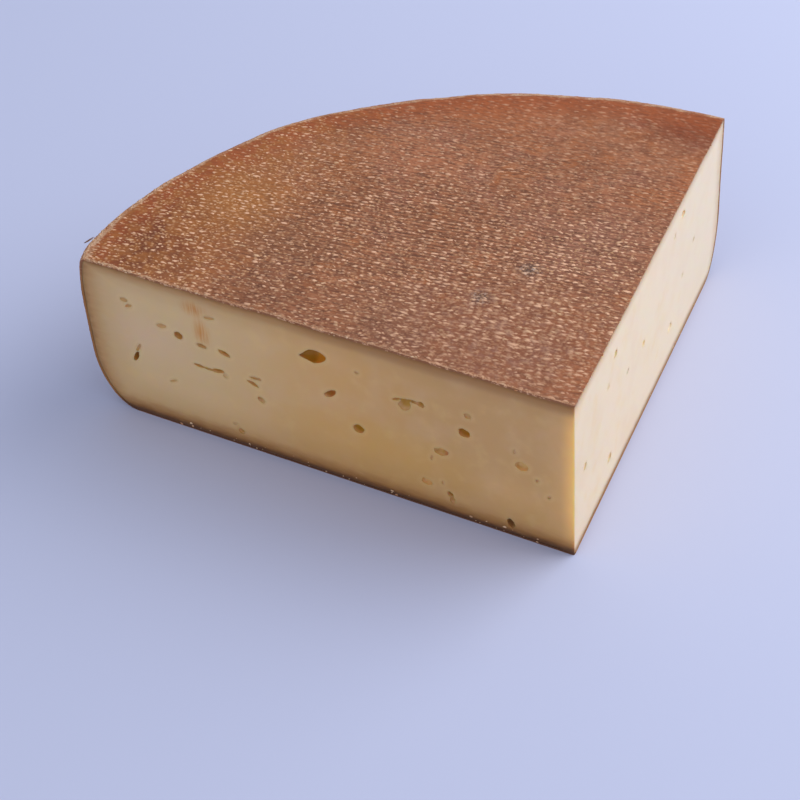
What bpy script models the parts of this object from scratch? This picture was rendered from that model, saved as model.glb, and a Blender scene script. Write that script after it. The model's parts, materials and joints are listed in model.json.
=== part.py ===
"""A quarter wheel of vacherin fribourgeois, a semi-soft cow's milk cheese with a washed rind.

Metres, +Z up. The piece lies on its base. Its long cut face runs along X and faces -Y. Its short
cut face runs back from the front corner and faces +X. The round side of the wheel closes the back.
The origin is at the middle of the piece's box, at the height of the base.
"""
import math

import bmesh
import bpy
from mathutils import Matrix, Vector, noise

MM = 0.001
UP = Vector((0.0, 0.0, 1.0))

# The wheel that the piece is cut from
WHEEL_RADIUS = 176.4 * MM
WHEEL_HEIGHT = 72.0 * MM
SHOULDER_RADIUS = 2.5 * MM      # where the top meets the side
FOOT_WIDTH = 16.5 * MM          # where the side runs in to the base, a quarter of an ellipse
FOOT_HEIGHT = 27.0 * MM
WHEEL_STEPS = 120
RING_SPACING = 9.0 * MM         # on the top, from the axis outwards
SIDE_SPACING = 7.0 * MM
SHOULDER_STEPS = 3
FOOT_STEPS = 7
MERGE_DISTANCE = 0.01 * MM

# How far the wheel is out of round: lobes, height of a lobe, direction of one of them in degrees
LOBES = ((2, 1.3 * MM, -2.9), (3, 2.5 * MM, 39.5))
BULGE_RISE = 1.9 * MM           # one swelling of the round side
BULGE_DIRECTION = 146.0
BULGE_WIDTH = 7.0               # degrees each way

# The top of the round side draws in towards the left tip of the long cut face
TUCK_DEPTH = 4.5 * MM
TUCK_START = 177.5              # direction in degrees
TUCK_WIDTH = 5.0
TUCK_MOST = 1.2                 # where it stops growing, in widths
TUCK_POWER = 8                  # how soon it fades below the top

# Swells and hollows of the rind: size of one, height of one
SWELLS = ((34.0 * MM, 0.55 * MM), (17.0 * MM, 0.35 * MM))

# The two cuts meet at the front corner, beside the wheel's axis
CORNER = Vector((24.5, -5.3, 0.0)) * MM
CUT_ANGLE = 85.1
BLOCK_SIZE = 3.0 * WHEEL_RADIUS

# Eyes and slits: distance from the front corner, height, width, tallness and depth in millimetres,
# and the turn in degrees, anticlockwise as seen from outside
FRONT_EYES = (
    # the large eye, with its pointed left end
    (101.3, 58.2, 10.4, 6.4, 3.8, 14), (105.0, 57.0, 5.4, 3.0, 1.6, 28),
    # a slanted eye and a round one, below it to the right
    (96.0, 42.3, 6.2, 2.6, 2.2, 38), (85.3, 29.1, 4.6, 4.2, 2.6, 0), (83.8, 56.7, 1.8, 1.4, 0.8, 35),
    # the torn eye with two wings
    (65.0, 48.6, 4.6, 6.8, 1.9, -32), (68.3, 49.9, 3.8, 1.4, 1.2, 22),
    (61.5, 51.1, 5.0, 1.5, 0.9, -2), (58.6, 50.8, 3.0, 2.9, 1.6, 0),
    # between the torn eye and the corner
    (51.6, 30.8, 6.0, 3.8, 1.6, 5), (55.7, 26.4, 0.9, 2.6, 1.0, -10), (42.0, 43.6, 4.9, 4.0, 2.6, -10),
    (40.3, 52.3, 3.0, 2.6, 0.9, 0), (20.0, 36.2, 5.4, 4.4, 1.8, 0), (22.7, 42.2, 1.0, 2.4, 0.7, -15),
    (14.1, 31.6, 1.2, 1.7, 0.9, -20), (9.6, 25.2, 1.1, 2.0, 0.9, -30),
    # low down, near the base
    (58.3, 13.3, 4.6, 3.2, 1.4, -10), (51.8, 15.3, 0.9, 1.9, 0.7, -10), (48.9, 10.4, 2.5, 3.4, 2.0, 30),
    (48.1, 8.0, 2.4, 3.4, 1.3, -10), (24.8, 5.9, 3.0, 5.0, 1.8, 25), (138.0, 7.6, 3.2, 2.8, 1.4, -35),
    (140.6, 10.6, 2.2, 1.2, 0.7, 30),
    # the row of small eyes at the left
    (183.0, 57.4, 3.4, 2.1, 0.8, 0), (181.5, 55.0, 3.6, 1.6, 0.8, 28), (167.5, 50.0, 4.6, 2.2, 0.9, 12),
    (160.4, 47.7, 3.9, 3.7, 2.2, 20), (150.4, 46.0, 4.4, 2.0, 1.5, -5), (140.6, 45.7, 5.6, 2.4, 2.0, -18),
    (145.0, 61.2, 5.0, 1.4, 0.8, 8),
    # slits, two of them in several parts
    (182.4, 29.8, 2.0, 6.0, 2.4, -28), (180.5, 34.8, 1.4, 5.0, 0.7, -30), (153.0, 35.4, 5.0, 1.6, 1.8, -3),
    (148.8, 35.3, 5.2, 1.1, 1.0, 0), (144.8, 35.7, 6.0, 2.2, 1.8, 10), (141.6, 34.4, 2.2, 2.4, 0.8, 0),
    (128.0, 38.0, 4.8, 1.4, 1.1, 3), (129.5, 34.8, 5.2, 1.8, 1.8, -20), (126.8, 27.8, 3.4, 2.8, 1.1, -30),
    (166.6, 23.0, 4.0, 1.2, 0.6, 28),
)
SIDE_EYES = (
    (43.6, 59.4, 3.6, 2.6, 1.8, 0), (36.0, 50.2, 2.4, 1.6, 0.8, 0), (11.2, 34.2, 3.4, 2.8, 1.8, 0),
    (38.4, 13.6, 4.2, 3.2, 2.0, 10), (77.2, 37.0, 3.4, 2.6, 1.8, -10), (58.4, 39.0, 2.6, 1.6, 0.8, 0),
    (124.4, 62.9, 4.8, 2.8, 2.4, -20), (114.0, 59.8, 2.6, 1.6, 0.9, 0), (111.6, 17.4, 5.0, 3.0, 1.0, 0),
    (141.0, 39.0, 2.4, 1.6, 0.8, 15), (126.8, 31.8, 2.4, 1.6, 0.8, -10),
)
EYE_SINK = 0.18                 # how far an eye's middle lies inside the face, as a share of its depth
EYE_UNEVEN = 0.14               # how far an eye's wall strays from an ellipsoid, as a share
EYE_LUMPS = 3.0                 # lumps of that straying across an eye
FEWEST_SIDES = 8                # round an eye, more for a wide one
SIDES_PER_MM = 2
MOST_SIDES = 24

# Bites out of the brittle top rim of the long cut face, out towards the left tip
CHIP_COUNT = 14
CHIP_NEAREST = 98.0 * MM        # from the front corner
CHIP_SPACING = 7.2 * MM
CHIP_LENGTH = 5.0 * MM
CHIP_DEPTH = 0.8 * MM
CHIP_UNEVEN = (0.4, 0.6, 0.5)   # how far a chip's place, length and depth stray, as shares
CHIP_SIDES = 8
CHIP_SEED = Vector((1.7, 5.3, 2.1))

RIND_COLOUR = (0.29, 0.135, 0.075, 1.0)
PASTE_COLOUR = (0.72, 0.56, 0.36, 1.0)
RIND_ROUGHNESS = 0.8
PASTE_ROUGHNESS = 0.5


def clear_scene():
    for thing in list(bpy.data.objects):
        bpy.data.objects.remove(thing, do_unlink=True)


def new_collection(name):
    collection = bpy.data.collections.new(name)
    bpy.context.scene.collection.children.link(collection)
    return collection


def new_material(name, colour, roughness):
    material = bpy.data.materials.new(name)
    material.use_nodes = True
    shader = material.node_tree.nodes["Principled BSDF"]
    shader.inputs["Base Color"].default_value = colour
    shader.inputs["Roughness"].default_value = roughness
    shader.inputs["Metallic"].default_value = 0.0
    return material


def arc_points(centre_x, centre_z, width, height, start, steps):
    """Points of a quarter of an ellipse that starts at an angle in degrees and runs clockwise."""
    points = []
    for step in range(steps + 1):
        angle = math.radians(start - 90.0 * step / steps)
        points.append((centre_x + width * math.cos(angle), centre_z + height * math.sin(angle)))
    return points


def wheel_profile():
    """Half of the wheel's section, from the middle of the top round to the middle of the base."""
    flat_end = WHEEL_RADIUS - SHOULDER_RADIUS
    side_top = WHEEL_HEIGHT - SHOULDER_RADIUS
    rings = round(flat_end / RING_SPACING)
    top = [(flat_end * ring / rings, WHEEL_HEIGHT) for ring in range(rings)]
    shoulder = arc_points(flat_end, side_top, SHOULDER_RADIUS, SHOULDER_RADIUS, 90.0, SHOULDER_STEPS)
    side_rows = round((side_top - FOOT_HEIGHT) / SIDE_SPACING)
    side = []
    for row in range(1, side_rows):
        side.append((WHEEL_RADIUS, side_top + (FOOT_HEIGHT - side_top) * row / side_rows))
    foot = arc_points(WHEEL_RADIUS - FOOT_WIDTH, FOOT_HEIGHT, FOOT_WIDTH, FOOT_HEIGHT, 0.0, FOOT_STEPS)
    return top + shoulder + side + foot + [(0.0, 0.0)]


def baked_mesh(source):
    """The mesh of an object with its modifiers applied. The object itself is removed."""
    bpy.context.view_layer.update()
    evaluated = source.evaluated_get(bpy.context.evaluated_depsgraph_get())
    mesh = bpy.data.meshes.new_from_object(evaluated)
    bpy.data.objects.remove(source, do_unlink=True)
    return mesh


def turned_wheel(collection):
    """The round wheel: its profile turned about Z."""
    points = [(x, 0.0, z) for x, z in wheel_profile()]
    edges = [(i, i + 1) for i in range(len(points) - 1)]
    line = bpy.data.meshes.new("wheel_profile")
    line.from_pydata(points, edges, [])
    profile = bpy.data.objects.new("wheel_profile", line)
    collection.objects.link(profile)
    screw = profile.modifiers.new("Turn", "SCREW")
    screw.axis = "Z"
    screw.angle = math.tau
    screw.steps = WHEEL_STEPS
    screw.render_steps = WHEEL_STEPS
    screw.use_merge_vertices = True
    screw.merge_threshold = MERGE_DISTANCE
    return baked_mesh(profile)


def out_of_round(direction, height):
    """How much the wheel's radius differs from a circle's, in a direction in degrees and at a height."""
    lobes = sum(rise * math.cos(math.radians(count * (direction - crest))) for count, rise, crest in LOBES)
    bulge = BULGE_RISE * math.exp(-((direction - BULGE_DIRECTION) / BULGE_WIDTH) ** 2)
    tuck_share = max(0.0, (direction - TUCK_START) / TUCK_WIDTH)
    tuck = TUCK_DEPTH * min(tuck_share, TUCK_MOST) ** 2 * (height / WHEEL_HEIGHT) ** TUCK_POWER
    return lobes + bulge - tuck


def swell(point):
    return sum(rise * noise.noise(point / size) for size, rise in SWELLS)


def age_wheel(mesh):
    """Push the wheel a little out of round and make its rind uneven. The base stays flat."""
    bm = bmesh.new()
    bm.from_mesh(mesh)
    bm.normal_update()
    for vert in bm.verts:
        ease = min(1.0, vert.co.z / FOOT_HEIGHT)
        direction = math.degrees(math.atan2(vert.co.y, vert.co.x)) % 360.0
        stretch = 1.0 + out_of_round(direction, vert.co.z) / WHEEL_RADIUS
        rise = ease * swell(vert.co) * vert.normal
        vert.co.x = vert.co.x * stretch + rise.x
        vert.co.y = vert.co.y * stretch + rise.y
        vert.co.z = vert.co.z + rise.z
    bm.to_mesh(mesh)
    bm.free()


class CutFace:
    """A cut face: where it starts, which way it runs from the corner and which way it looks."""

    def __init__(self, name, runs, looks):
        self.name = name
        self.runs = Vector((math.cos(runs), math.sin(runs), 0.0))
        self.looks = Vector((math.cos(looks), math.sin(looks), 0.0))
        self.turn = looks
        self.right = UP.cross(self.looks)

    def frame(self, distance, height, sink):
        """A frame on the face: X to the right, Y up and Z out of the cheese."""
        place = CORNER + self.runs * distance + UP * height - self.looks * sink
        axes = Matrix((self.right, UP, self.looks)).transposed()
        return Matrix.Translation(place) @ axes.to_4x4()


def add_cutter(name, mesh, matrix, collection, material, parent):
    mesh.materials.append(material)
    cutter = bpy.data.objects.new(name, mesh)
    collection.objects.link(cutter)
    cutter.parent = parent
    cutter.matrix_local = matrix
    cutter.hide_render = True
    cutter.display_type = "WIRE"
    return cutter


def cutting_block(face, collection, material, parent):
    """A block as large as the wheel, with one side on the cut face."""
    bm = bmesh.new()
    bmesh.ops.create_cube(bm, size=BLOCK_SIZE)
    mesh = bpy.data.meshes.new(face.name + "_block")
    bm.to_mesh(mesh)
    bm.free()
    place = CORNER + face.looks * BLOCK_SIZE / 2 + UP * WHEEL_HEIGHT / 2
    matrix = Matrix.Translation(place) @ Matrix.Rotation(face.turn, 4, "Z")
    return add_cutter(mesh.name, mesh, matrix, collection, material, parent)


def uneven_ball(name, size, sides, seed):
    """An ellipsoid of the given full sizes whose wall strays a little."""
    bm = bmesh.new()
    bmesh.ops.create_uvsphere(bm, u_segments=sides, v_segments=sides // 2, radius=0.5)
    for vert in bm.verts:
        stray = 1.0 + EYE_UNEVEN * noise.noise(vert.co * EYE_LUMPS + seed)
        vert.co = Vector([part * length * stray for part, length in zip(vert.co, size)])
    mesh = bpy.data.meshes.new(name)
    bm.to_mesh(mesh)
    bm.free()
    mesh.shade_smooth()
    return mesh


def cut_eyes(face, eyes, collection, material, parent):
    for number, (distance, height, width, tall, depth, turn) in enumerate(eyes):
        name = f"{face.name}_eye_{number:02d}"
        wanted = FEWEST_SIDES / 2 + SIDES_PER_MM * width
        sides = 2 * round(min(MOST_SIDES, max(FEWEST_SIDES, wanted)) / 2)
        size = Vector((width, tall, 2 * depth)) * MM
        mesh = uneven_ball(name, size, sides, Vector((distance, height, width)))
        sink = EYE_SINK * depth * MM
        matrix = face.frame(distance * MM, height * MM, sink) @ Matrix.Rotation(math.radians(turn), 4, "Z")
        add_cutter(name, mesh, matrix, collection, material, parent)


def chip_rim(face, collection, material, parent):
    """Small flat bites, unevenly long and deep, along the top edge of a cut face."""
    for number in range(CHIP_COUNT):
        seed = CHIP_SEED * (1.0 + number)
        stray = [share * noise.noise(seed + UP * part) for part, share in enumerate(CHIP_UNEVEN)]
        place, length, depth = stray
        distance = CHIP_NEAREST + CHIP_SPACING * (number + place)
        full_length = CHIP_LENGTH * (1.0 + length)
        full_depth = 2 * CHIP_DEPTH * (1.0 + depth)
        size = Vector((full_length, full_depth, full_depth))
        mesh = uneven_ball(f"rim_chip_{number:02d}", size, CHIP_SIDES, seed)
        matrix = face.frame(distance, WHEEL_HEIGHT, 0.0)
        add_cutter(mesh.name, mesh, matrix, collection, material, parent)


def cut_away(piece, name):
    cut = piece.modifiers.new(name, "BOOLEAN")
    cut.operation = "DIFFERENCE"
    cut.solver = "EXACT"
    cut.material_mode = "TRANSFER"
    return cut


def stand_on_origin(origin, piece):
    """Move everything so that the middle of the piece's box stands on the world's origin."""
    bpy.context.view_layer.update()
    evaluated = piece.evaluated_get(bpy.context.evaluated_depsgraph_get())
    mesh = evaluated.to_mesh()
    for axis in range(3):
        places = [vert.co[axis] for vert in mesh.vertices]
        anchor = min(places) if axis == 2 else (min(places) + max(places)) / 2
        origin.location[axis] = -anchor
    evaluated.to_mesh_clear()


def build():
    clear_scene()
    cheese = new_collection("vacherin")
    cutters = new_collection("cutters")
    eye_cutters = new_collection("eye_cutters")
    rind = new_material("rind", RIND_COLOUR, RIND_ROUGHNESS)
    paste = new_material("paste", PASTE_COLOUR, PASTE_ROUGHNESS)

    origin = bpy.data.objects.new("cheese_origin", None)
    cheese.objects.link(origin)

    mesh = turned_wheel(cheese)
    age_wheel(mesh)
    mesh.name = "cheese_wedge"
    mesh.materials.append(rind)
    mesh.shade_smooth()
    wedge = bpy.data.objects.new("cheese_wedge", mesh)
    cheese.objects.link(wedge)
    wedge.parent = origin

    front = CutFace("front", math.radians(180.0), math.radians(-90.0))
    side = CutFace("side", math.radians(180.0 - CUT_ANGLE), math.radians(90.0 - CUT_ANGLE))
    for face in (front, side):
        cut_away(wedge, face.name + "_cut").object = cutting_block(face, cutters, paste, origin)
    cut_eyes(front, FRONT_EYES, eye_cutters, paste, origin)
    cut_eyes(side, SIDE_EYES, eye_cutters, paste, origin)
    chip_rim(front, eye_cutters, paste, origin)
    holes = cut_away(wedge, "eyes")
    holes.operand_type = "COLLECTION"
    holes.collection = eye_cutters
    stand_on_origin(origin, wedge)


build()
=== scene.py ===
"""The looks of a quarter wheel of vacherin fribourgeois: a rind with a cloth's imprint, a paste with eyes.

The wheel's named sizes repeat those of the solid. Points are worked out round the wheel's axis, in
metres, and then moved to where the solid's front corner stands. Patterns are in millimetres.
"""

import json
import math
import random
from functools import reduce
from types import SimpleNamespace

import bmesh
import bpy
import numpy as np
from mathutils import Matrix, Vector, noise
from mathutils.kdtree import KDTree

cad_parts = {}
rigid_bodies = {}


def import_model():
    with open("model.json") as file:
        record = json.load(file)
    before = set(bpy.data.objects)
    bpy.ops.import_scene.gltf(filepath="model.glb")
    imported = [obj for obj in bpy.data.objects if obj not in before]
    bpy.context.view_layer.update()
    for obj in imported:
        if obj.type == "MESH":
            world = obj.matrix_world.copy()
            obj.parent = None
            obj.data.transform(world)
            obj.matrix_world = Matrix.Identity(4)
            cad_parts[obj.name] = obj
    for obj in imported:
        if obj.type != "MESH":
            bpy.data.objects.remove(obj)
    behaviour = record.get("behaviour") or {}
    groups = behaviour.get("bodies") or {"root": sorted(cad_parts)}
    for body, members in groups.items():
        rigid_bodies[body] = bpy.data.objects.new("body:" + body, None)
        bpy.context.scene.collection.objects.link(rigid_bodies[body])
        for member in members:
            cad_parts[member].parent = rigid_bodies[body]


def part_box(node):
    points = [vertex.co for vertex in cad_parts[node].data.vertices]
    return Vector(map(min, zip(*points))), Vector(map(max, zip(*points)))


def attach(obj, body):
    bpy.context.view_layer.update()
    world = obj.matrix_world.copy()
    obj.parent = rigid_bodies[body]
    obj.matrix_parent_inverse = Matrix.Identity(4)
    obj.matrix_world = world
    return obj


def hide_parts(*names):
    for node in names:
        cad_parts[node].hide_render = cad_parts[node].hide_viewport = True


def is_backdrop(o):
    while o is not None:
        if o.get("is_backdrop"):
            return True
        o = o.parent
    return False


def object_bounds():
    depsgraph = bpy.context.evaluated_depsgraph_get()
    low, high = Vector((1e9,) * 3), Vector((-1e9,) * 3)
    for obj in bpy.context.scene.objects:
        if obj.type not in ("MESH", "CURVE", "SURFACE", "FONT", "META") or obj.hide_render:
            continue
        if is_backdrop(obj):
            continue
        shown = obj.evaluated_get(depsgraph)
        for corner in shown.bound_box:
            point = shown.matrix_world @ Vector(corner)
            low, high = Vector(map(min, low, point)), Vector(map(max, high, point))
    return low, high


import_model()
cad_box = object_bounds()

MM = 0.001
UP = Vector((0, 0, 1))

# The wheel that the piece is cut from, as in the solid
WHEEL_RADIUS = 176.4 * MM
WHEEL_HEIGHT = 72 * MM
SHOULDER_RADIUS = 2.5 * MM
FOOT_WIDTH = 16.5 * MM
FOOT_HEIGHT = 27 * MM
LOBES = ((2, 1.3 * MM, -2.9), (3, 2.5 * MM, 39.5))
BULGE_RISE = 1.9 * MM
BULGE_DIRECTION = 146
BULGE_WIDTH = 7
TUCK_DEPTH = 4.5 * MM
TUCK_START = 177.5
TUCK_WIDTH = 5
TUCK_MOST = 1.2
TUCK_POWER = 8
SWELLS = ((34 * MM, 0.55 * MM), (17 * MM, 0.35 * MM))
CORNER = Vector((24.5, -5.3, 0)) * MM
CUT_ANGLE = 85.1

# Eyes and slits, as in the solid: distance from the corner, height, width, tallness, depth, turn.
# The large eye is one tapered hollow here, and the torn eye's fissure isn't in the solid.
LARGE_EYE = (102.2, 57.9, 12.6, 6.2, 3.8, 14)
LARGE_EYE_TAPER = 0.84
FRONT_EYES = (
    # below the large one to the right
    (96, 42.3, 6.2, 2.6, 2.2, 38), (85.3, 29.1, 4.6, 4.2, 2.6, 0), (83.8, 56.7, 1.8, 1.4, 0.8, 35),
    # the torn eye and its two wings
    (65, 48.6, 4.6, 6.8, 1.9, -32), (68.3, 49.9, 3.8, 1.4, 1.2, 22),
    (61.5, 51.1, 5, 1.5, 0.9, -2), (58.6, 50.8, 3, 2.9, 1.6, 0),
    # towards the corner
    (51.6, 30.8, 6, 3.8, 1.6, 5), (55.7, 26.4, 0.9, 2.6, 1, -10), (42, 43.6, 4.9, 4, 2.6, -10),
    (40.3, 52.3, 3, 2.6, 0.9, 0), (20, 36.2, 5.4, 4.4, 1.8, 0), (22.7, 42.2, 1, 2.4, 0.7, -15),
    (14.1, 31.6, 1.2, 1.7, 0.9, -20), (9.6, 25.2, 1.1, 2, 0.9, -30),
    # low down, near the base
    (58.3, 13.3, 4.6, 3.2, 1.4, -10), (51.8, 15.3, 0.9, 1.9, 0.7, -10), (48.9, 10.4, 2.5, 3.4, 2, 30),
    (48.1, 8, 2.4, 3.4, 1.3, -10), (24.8, 5.9, 3, 5, 1.8, 25), (138, 7.6, 3.2, 2.8, 1.4, -35),
    (140.6, 10.6, 2.2, 1.2, 0.7, 30),
    # at the left
    (183, 57.4, 3.4, 2.1, 0.8, 0), (181.5, 55, 3.6, 1.6, 0.8, 28), (167.5, 50, 4.6, 2.2, 0.9, 12),
    (160.4, 47.7, 3.9, 3.7, 2.2, 20), (150.4, 46, 4.4, 2, 1.5, -5), (140.6, 45.7, 5.6, 2.4, 2, -18),
    (145, 61.2, 5, 1.4, 0.8, 8),
    # slits
    (182.4, 29.8, 2, 6, 2.4, -28), (180.5, 34.8, 1.4, 5, 0.7, -30), (153, 35.4, 5, 1.6, 1.8, -3),
    (148.8, 35.3, 5.2, 1.1, 1, 0), (144.8, 35.7, 6, 2.2, 1.8, 10), (141.6, 34.4, 2.2, 2.4, 0.8, 0),
    (128, 38, 4.8, 1.4, 1.1, 3), (129.5, 34.8, 5.2, 1.8, 1.8, -20), (126.8, 27.8, 3.4, 2.8, 1.1, -30),
    (166.6, 23, 4, 1.2, 0.6, 28),
    # the torn eye's fissure
    (64.6, 50.7, 6, 1.3, 1.8, 8),
)
SIDE_EYES = (
    (43.6, 59.4, 3.6, 2.6, 1.8, 0), (36, 50.2, 2.4, 1.6, 0.8, 0), (11.2, 34.2, 3.4, 2.8, 1.8, 0),
    (38.4, 13.6, 4.2, 3.2, 2, 10), (77.2, 37, 3.4, 2.6, 1.8, -10), (58.4, 39, 2.6, 1.6, 0.8, 0),
    (124.4, 62.9, 4.8, 2.8, 2.4, -20), (114, 59.8, 2.6, 1.6, 0.9, 0), (111.6, 17.4, 5, 3, 1, 0),
    (141, 39, 2.4, 1.6, 0.8, 15), (126.8, 31.8, 2.4, 1.6, 0.8, -10),
)
SMALL_EYE = 3  # millimetres: eyes below this size are shallower here than in the solid
SMALL_EYE_SHARE = 0.5
EYE_TILTS = {(65, 48.6): -26}  # degrees, which way the hollow of the torn eye runs in
SIDE_EYE_SHARE = 0.6  # how deep the side's eyes are here, a share of the solid's
EYE_SINK = 0.18  # how deep a hollow's middle lies, a share of its depth
EYE_STRAYS = ((0.14, 3), (0.05, 4))  # how far an eye's wall strays, and how many lumps there are across it

# How finely the pieces are made
RIND_SPACING = 0.6 * MM
BASE_SPACING = 1.6 * MM
PASTE_COLUMNS = 270  # on each cut face, closer together near the corner
PASTE_CLOSER = 1.12
PASTE_ROWS = 96
HIDDEN_COLUMNS = 32  # across what the rind hides
SECTION_STEPS = 60
HALVINGS = 30
RIND_THICKNESS = 1 * MM
WALL_ROWS = 4  # from the upper edge of a flat rind's wall to its foot
CORNER_ROUNDING = 0.7 * MM  # of the edge where the two cuts meet
SHARP_ANGLE = math.radians(60)

# How the paste and its eyes look close by
EYE_FACET = 0.45  # of the hollows, in millimetres
EYE_FEWEST_SIDES = 12
EYE_MOST_SIDES = 56
ON_FACE = 0.01  # millimetres behind a cut face that still count as on it
KNIFE_RISE = 0.07 * MM
KNIFE_LONG = 38  # how long and how tall the waves are, in millimetres
KNIFE_TALL = 9
RIM_ROUNDING = 0.16 * MM
EYE_HALO = 1.5  # how far the paler paste round an eye reaches, in millimetres
BASE_EDGE_WIDTH = 1.7  # how wide the brown edge is at the base, the top's being 1
ROUND_EDGE_WIDTH = 1.9  # and at the round side
ROUND_EDGE_PALER = 0.7

# The cloth that pressed the rind
CLOTH_ROWS = (-0.068, 0.517, 0)  # how many rows there are to a millimetre, along X and Y
CLOTH_COLUMNS = (0.31, 0.055, 0)
CLOTH_STRAY = 0.6  # how far a dot strays from its place, in rows and columns
CLOTH_SLIP = 1.5  # how far the rows slip along each other, in columns
CLOTH_SWAYS = ((22, 1.3, 2.4), (30, 7.7, 2))  # size and seed of the rows' waves, and how far they go
ROW_TURN = math.radians(-7.5)
SMALL_MESH = (1 / 1.6, 1 / 1.2, 0)  # small dots to a millimetre
SMALL_MESH_SHIFT = (5.5, 5.5, 0)
SMALL_STRAY = 0.9
SIDE_CLOTH = 200  # the side and the base lie on other parts of the cloth than the top
BASE_CLOTH = 400

# Where the rind differs: place in the frame in millimetres, reach along X and Y, strength and colour
LEFT_TIP = (-98, -86, 46, 40)
FAR_TIP = (84, 82, 44, 30)
NEAR_CORNER = (66, -66, 72, 52)
CLEAR_ROWS = (28, -26, 88, 56)  # where the cloth's rows show best
FRONT_EDGE = -89.155  # where the front cut lies
RIND_PATCHES = (
    (-84, -44, 88, 100, 0.8, (158, 90, 34)), (-64, -38, 30, 32, 0.95, (180, 112, 50)),
    (-12, 16, 36, 24, 0.7, (182, 110, 72)), (-32, -52, 32, 24, 0.7, (138, 84, 52)),
    (-88, -64, 46, 46, 1, (124, 56, 16)), (70, -6, 44, 44, 0.6, (158, 104, 82)),
    (-6, 58, 50, 26, 0.7, (180, 98, 48)), (98, -70, 14, 30, 0.75, (190, 110, 62)),
    (22, -72, 30, 22, 0.5, (140, 92, 64)), (-26, -80, 36, 26, 0.6, (122, 70, 42)),
    (30, -86, 46, 18, 0.6, (124, 76, 52)), (-34, -6, 24, 20, 0.5, (160, 90, 44)),
    (90, 42, 13, 36, 0.7, (176, 96, 46)), (78, 78, 40, 26, 1, (128, 54, 14)),
    (-90, -76, 36, 28, 0.9, (118, 58, 24)),
)
FADES = (  # where the dots are paler or fainter, and how much
    (68, -14, 34, 30, 0.35), (84, -84, 60, 26, -0.45), (0, -84, 64, 24, -0.3),
    (86, 82, 34, 26, -0.25), (46, -78, 40, 22, -0.2), (-92, -62, 40, 40, -0.15),
)
BLEMISHES = ((57.4, -29.7, 7, 7), (48.2, -50.6, 6, 6))

# The same on the front cut, with a painted glow of light down the corner: distance from the corner and height,
# reach, strength and colour
PASTE_STAINS = (
    (175, 42, 26, 16, 0.3, (226, 190, 168)), (74, 24, 48, 20, 0.5, (218, 170, 92)),
    (150, 16, 40, 12, 0.3, (232, 194, 140)), (25, 20, 22, 14, 0.3, (232, 186, 130)),
    # the two at 0 from the corner are painted light: a yellow glow where light shines through the paste's edge
    (64.2, 46.6, 3.4, 4, 0.45, (196, 152, 74)), (0, 36, 14, 110, 0.5, (238, 186, 116)),
    (0, 36, 6, 90, 0.9, (252, 208, 122)),
)
SMEARS = ((151.6, 63.4, 7.4, 5.4), (149.4, 52.6, 5, 9.6))
EYE_TINTS = (
    (102, 58, 9, 7, (186, 126, 10)), (98.4, 56.2, 5, 3, (222, 146, 40)),
    # the dark one at the large eye's top is painted shade under its upper wall
    (103, 61, 8, 3.4, (114, 72, 12)), (64.8, 50.8, 4.6, 1.6, (150, 106, 44)),
    (96, 42.3, 4, 3, (200, 130, 64)), (182.4, 29.8, 3, 4, (182, 128, 62)),
    (49.5, 30.4, 2.4, 2.4, (206, 144, 88)), (160.4, 47.7, 3, 3, (210, 160, 80)),
    (85.3, 29.1, 3, 3, (200, 146, 20)), (42, 43.6, 3.4, 3, (198, 140, 36)),
    (24.8, 5.9, 3, 3.6, (136, 88, 36)), (20, 36.2, 3.6, 3.2, (226, 186, 118)),
    (52.6, 31.2, 1.9, 2, (226, 186, 120)), (58.3, 13.3, 3.2, 2.6, (226, 182, 110)),
    (182.3, 56.2, 3.6, 3.6, (212, 174, 118)),
)

# Crumbs: how many, how uneven, and where a stray sliver of rind hangs
CRUMB_SEED = 7
TOP_CRUMBS = 260
TIP_CRUMBS = 130
TIP_REACH = 20 * MM
CLUMP_LENGTH = 7 * MM
RIM_CRUMBS = 150
RIM_REACH = 22  # degrees
FRONT_DOTS = 36
SIDE_DOTS = 14
CRUMB_UNEVEN = 0.6
CRUMB_LUMPS = 1.7
SLIVER = (-101, -78.9, 72.2)
SLIVER_SIZE = (4.6, 0.7, 0.4)
SLIVER_TURN = math.radians(75)
SLIVER_TONE = 0.05

# The studio: place, size, power and tint of each light
LIGHTS = (
    ("window", (0.85, 0.75, 0.75), 1.4, 18.5, (0.93, 0.96, 1)),
    ("room", (-0.35, -1.5, 0.25), 1, 3.65, (1, 0.86, 0.68)),
)
AMBIENT_COLOUR = (0.76, 0.84, 1, 1)
AMBIENT_STRENGTH = 0.665
FLOOR_SIZE = 6
FLOOR_COLOUR = (0.572, 0.588, 0.755, 1)

# The camera, in the frame: where it stands, how it is turned in radians, and its lens
CAMERA_PLACE = Vector((0.29151, -0.51333, 0.49696))
CAMERA_YAW = -0.5442
CAMERA_DOWN = 0.7336
CAMERA_ROLL = -0.0832
CAMERA_LENS = 85.5
CAMERA_SENSOR = 36

# The edge where the two cuts meet stands in a corner of the solid's box
BOX_LOW, BOX_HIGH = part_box("cheese_wedge")
TO_FRAME = Vector((BOX_HIGH.x, BOX_LOW.y, 0)) - CORNER


def ray(angle):
    return Vector((math.cos(angle), math.sin(angle), 0))


class CutFace:
    """A cut face: which way it runs from the corner and which way it looks."""

    def __init__(self, runs, looks, inside, outside):
        self.runs = ray(runs)
        self.looks = ray(looks)
        self.right = UP.cross(self.looks)
        self.inside = inside  # a direction in degrees that lies in the piece, and one that doesn't
        self.outside = outside

    def ahead(self, point):
        return (point - CORNER).dot(self.looks)

    def pin(self, point):
        """The point, moved on to the face."""
        return point - self.looks * self.ahead(point)

    def frame(self, distance, height, sink):
        """A frame on the face: X to the right, Y up and Z out of the cheese."""
        place = CORNER + self.runs * distance + UP * height - self.looks * sink
        axes = Matrix((self.right, UP, self.looks)).transposed()
        return Matrix.Translation(place) @ axes.to_4x4()


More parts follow.
